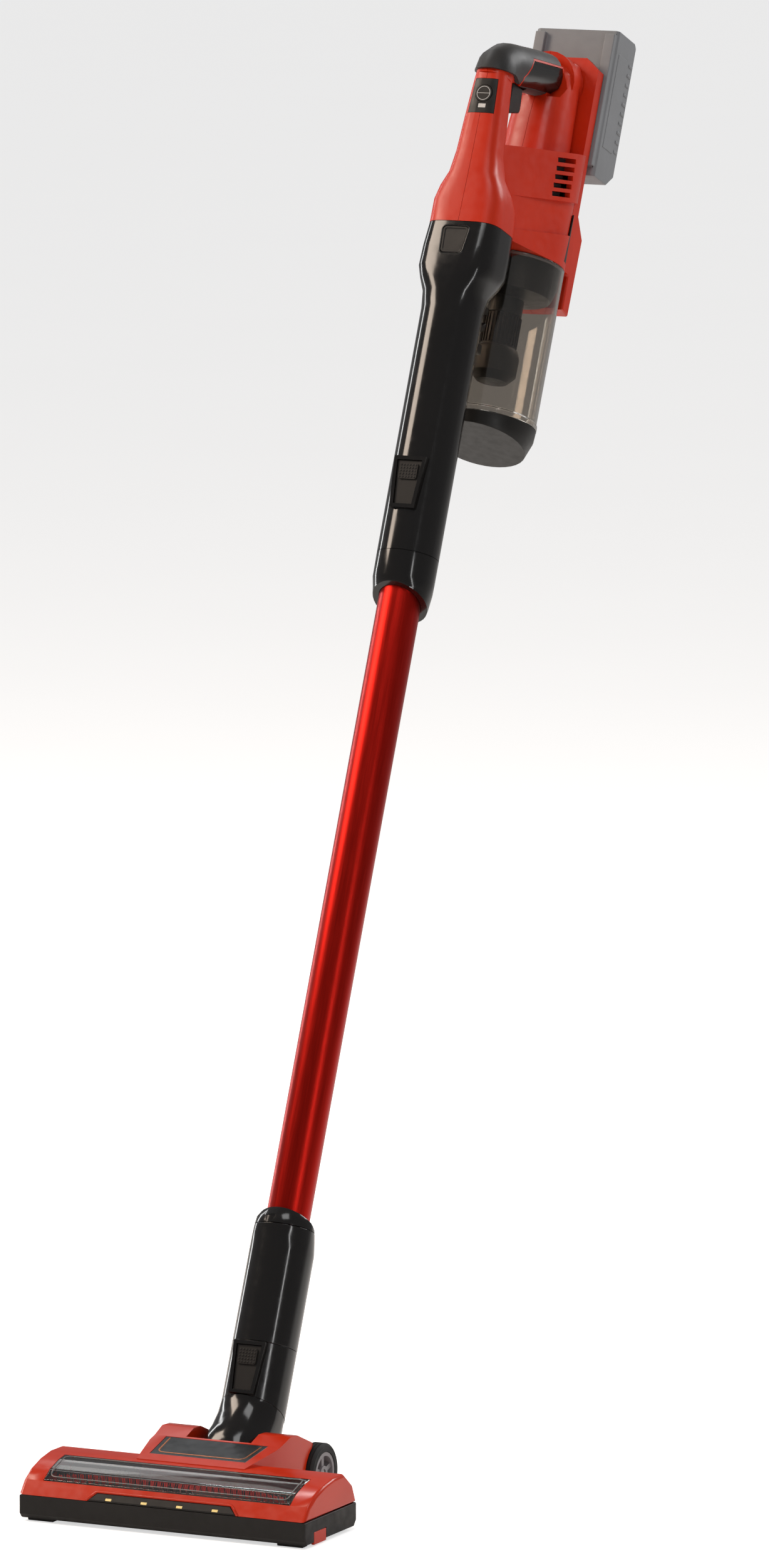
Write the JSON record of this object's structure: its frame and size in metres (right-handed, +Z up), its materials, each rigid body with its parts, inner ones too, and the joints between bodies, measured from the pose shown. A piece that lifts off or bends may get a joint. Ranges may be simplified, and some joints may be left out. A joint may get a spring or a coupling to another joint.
{
  "type": "cordless stick vacuum cleaner",
  "caption": "Cordless stick vacuum: hand unit with loop handle, clear dust bin and battery, straight wand, swivelling neck and powered floor head with a windowed brush roller.",
  "frame": {"origin": "on the floor, at the middle of the footprint of the whole leaning vacuum", "axes": "+Z up, the floor head points to -Y, the wand leans back towards +Y, +X is the right end seen from the front"},
  "size_m": [0.25, 0.7904, 1.1172],
  "materials": {
    "red_shell": "moulded ABS, satin gloss",
    "black_gloss": "moulded ABS, gloss black",
    "black_satin": "moulded ABS, fine satin texture",
    "soft_grip": "overmoulded TPE, fine leather-like texture",
    "clear_shell": "clear polycarbonate, smoke tint",
    "grey_plastic": "moulded ABS, dark grey",
    "battery_shell": "glass-filled nylon, grey",
    "filter_grey": "moulded ABS, warm grey",
    "filter_paper": "pleated filter paper",
    "bristles": "nylon bristles, black with red rows",
    "tyre": "moulded rubber",
    "red_tube": "anodised aluminium, red",
    "steel": "ground steel",
    "belt": "moulded rubber belt",
    "lens": "clear light lens"
  },
  "bodies": {
    "hand_unit": {"housing_right": "red_shell", "housing_left": "red_shell", "grip_cover": "soft_grip", "grip_insert_left": "black_gloss", "grip_insert_right": "black_gloss", "side_plate_left": "black_satin", "side_plate_right": "black_satin", "control_panel": "grey_plastic", "status_light": "lens", "motor_body": "steel", "battery_rail": "black_satin"},
    "mode_button": {"mode_button": "black_satin"},
    "trigger": {"trigger": "black_satin"},
    "motor_fan": {"motor_fan": "grey_plastic"},
    "battery": {"battery_pack": "battery_shell"},
    "battery_latch": {"battery_latch": "black_satin"},
    "dust_unit": {"intake_pipe": "black_gloss", "pipe_collar": "black_gloss", "dust_bin": "clear_shell", "cyclone_insert": "grey_plastic", "cyclone_shroud": "black_satin"},
    "dust_unit_button": {"dust_unit_button": "black_satin"},
    "upper_release_button": {"upper_release_button": "black_satin"},
    "filter": {"filter_frame": "filter_grey", "filter_pleats": "filter_paper", "filter_end_cap": "black_satin"},
    "bin_lid": {"bin_lid": "grey_plastic"},
    "bin_lever": {"bin_lever": "black_gloss"},
    "wand": {"wand_tube": "red_tube"},
    "lower_socket": {"lower_socket": "black_gloss", "lower_sleeve": "black_gloss", "sleeve_cap": "black_gloss"},
    "lower_release_button": {"lower_release_button": "black_satin"},
    "neck": {"neck_elbow": "black_gloss"},
    "head": {"head_base": "black_satin", "head_cover": "red_shell", "brush_window": "clear_shell", "light_strip": "black_satin", "label_plate": "grey_plastic", "drive_belt": "belt", "brush_motor": "steel", "front_foot_left": "black_satin", "front_foot_right": "black_satin", "wheel_axle_left": "steel", "wheel_axle_right": "steel", "tilt_pin_left": "steel", "tilt_pin_right": "steel", "light_lens_1": "lens", "light_lens_2": "lens", "light_lens_3": "lens", "light_lens_4": "lens"},
    "wheel_left": {"tyre_left": "tyre", "wheel_hub_left": "grey_plastic"},
    "wheel_right": {"tyre_right": "tyre", "wheel_hub_right": "grey_plastic"},
    "brush": {"brush_roller": "black_satin", "brush_tufts": "bristles", "roller_pulley": "grey_plastic"},
    "brush_motor_pulley": {"motor_pulley": "grey_plastic"},
    "brush_tab": {"brush_tab": "red_shell"}
  },
  "joints": [
    {"name": "trigger_squeeze", "type": "slide", "parent": "hand_unit", "child": "trigger", "axis": [0, 0.3939, 0.9191], "range_m": [0, 0.004], "stiffness_N_per_m": 500, "springref_m": -0.001},
    {"name": "mode_button_press", "type": "slide", "parent": "hand_unit", "child": "mode_button", "axis": [0, 0.9191, -0.3939], "range_m": [0, 0.0012], "stiffness_N_per_m": 800, "springref_m": -0.0005},
    {"name": "fan_spin", "type": "hinge", "parent": "hand_unit", "child": "motor_fan", "pos_m": [0, 0.24555, 0.9612], "axis": [0, 0.3939, 0.9191], "continuous": true},
    {"name": "battery_slide", "type": "slide", "parent": "hand_unit", "child": "battery", "axis": [0, 0.3939, 0.9191], "range_m": [0, 0.09]},
    {"name": "battery_latch_press", "type": "slide", "parent": "battery", "child": "battery_latch", "axis": [0, -0.9191, 0.3939], "range_m": [0, 0.002], "stiffness_N_per_m": 900, "springref_m": -0.0005},
    {"name": "dust_unit_slide", "type": "slide", "parent": "hand_unit", "child": "dust_unit", "axis": [0, -0.3939, -0.9191], "range_m": [0, 0.045]},
    {"name": "dust_unit_button_press", "type": "slide", "parent": "dust_unit", "child": "dust_unit_button", "axis": [0, 0.9191, -0.3939], "range_m": [0, 0.0014], "stiffness_N_per_m": 800, "springref_m": -0.0005},
    {"name": "upper_release_press", "type": "slide", "parent": "dust_unit", "child": "upper_release_button", "axis": [0, 0.9191, -0.3939], "range_m": [0, 0.002], "stiffness_N_per_m": 800, "springref_m": -0.0005},
    {"name": "filter_twist", "type": "hinge", "parent": "dust_unit", "child": "filter", "pos_m": [0, 0.24122, 0.95109], "axis": [0, 0.3939, 0.9191], "range_deg": [0, 20]},
    {"name": "bin_lid_hinge", "type": "hinge", "parent": "dust_unit", "child": "bin_lid", "pos_m": [0, 0.22228, 0.79166], "axis": [1, 0, 0], "range_deg": [0, 95]},
    {"name": "bin_lever_slide", "type": "slide", "parent": "dust_unit", "child": "bin_lever", "axis": [0, -0.3939, -0.9191], "range_m": [0, 0.005], "stiffness_N_per_m": 300, "springref_m": -0.002},
    {"name": "wand_slide", "type": "slide", "parent": "dust_unit", "child": "wand", "axis": [0, -0.3939, -0.9191], "range_m": [0, 0.08]},
    {"name": "lower_socket_slide", "type": "slide", "parent": "wand", "child": "lower_socket", "axis": [0, -0.3939, -0.9191], "range_m": [0, 0.08]},
    {"name": "lower_release_press", "type": "slide", "parent": "lower_socket", "child": "lower_release_button", "axis": [0, 0.9191, -0.3939], "range_m": [0, 0.002], "stiffness_N_per_m": 800, "springref_m": -0.0005},
    {"name": "neck_swivel", "type": "hinge", "parent": "lower_socket", "child": "neck", "pos_m": [0, -0.23689, 0.06912], "axis": [0, 0.6587, 0.7524], "range_deg": [-45, 45]},
    {"name": "head_tilt", "type": "hinge", "parent": "neck", "child": "head", "pos_m": [0, -0.2558, 0.025], "axis": [1, 0, 0], "range_deg": [-23, 55]},
    {"name": "wheel_left_spin", "type": "hinge", "parent": "head", "child": "wheel_left", "pos_m": [-0.055, -0.2312, 0.024], "axis": [1, 0, 0], "continuous": true},
    {"name": "wheel_right_spin", "type": "hinge", "parent": "head", "child": "wheel_right", "pos_m": [0.055, -0.2312, 0.024], "axis": [1, 0, 0], "continuous": true},
    {"name": "brush_spin", "type": "hinge", "parent": "head", "child": "brush", "pos_m": [0, -0.3682, 0.0195], "axis": [1, 0, 0], "continuous": true},
    {"name": "brush_motor_spin", "type": "hinge", "parent": "head", "child": "brush_motor_pulley", "pos_m": [-0.119, -0.3292, 0.027], "axis": [1, 0, 0], "continuous": true},
    {"name": "brush_tab_slide", "type": "slide", "parent": "head", "child": "brush_tab", "axis": [1, 0, 0], "range_m": [0, 0.004]}
  ],
  "couplings": [
    {"joint": "brush_motor_spin", "follows": "brush_spin", "ratio": 1.7391}
  ]
}
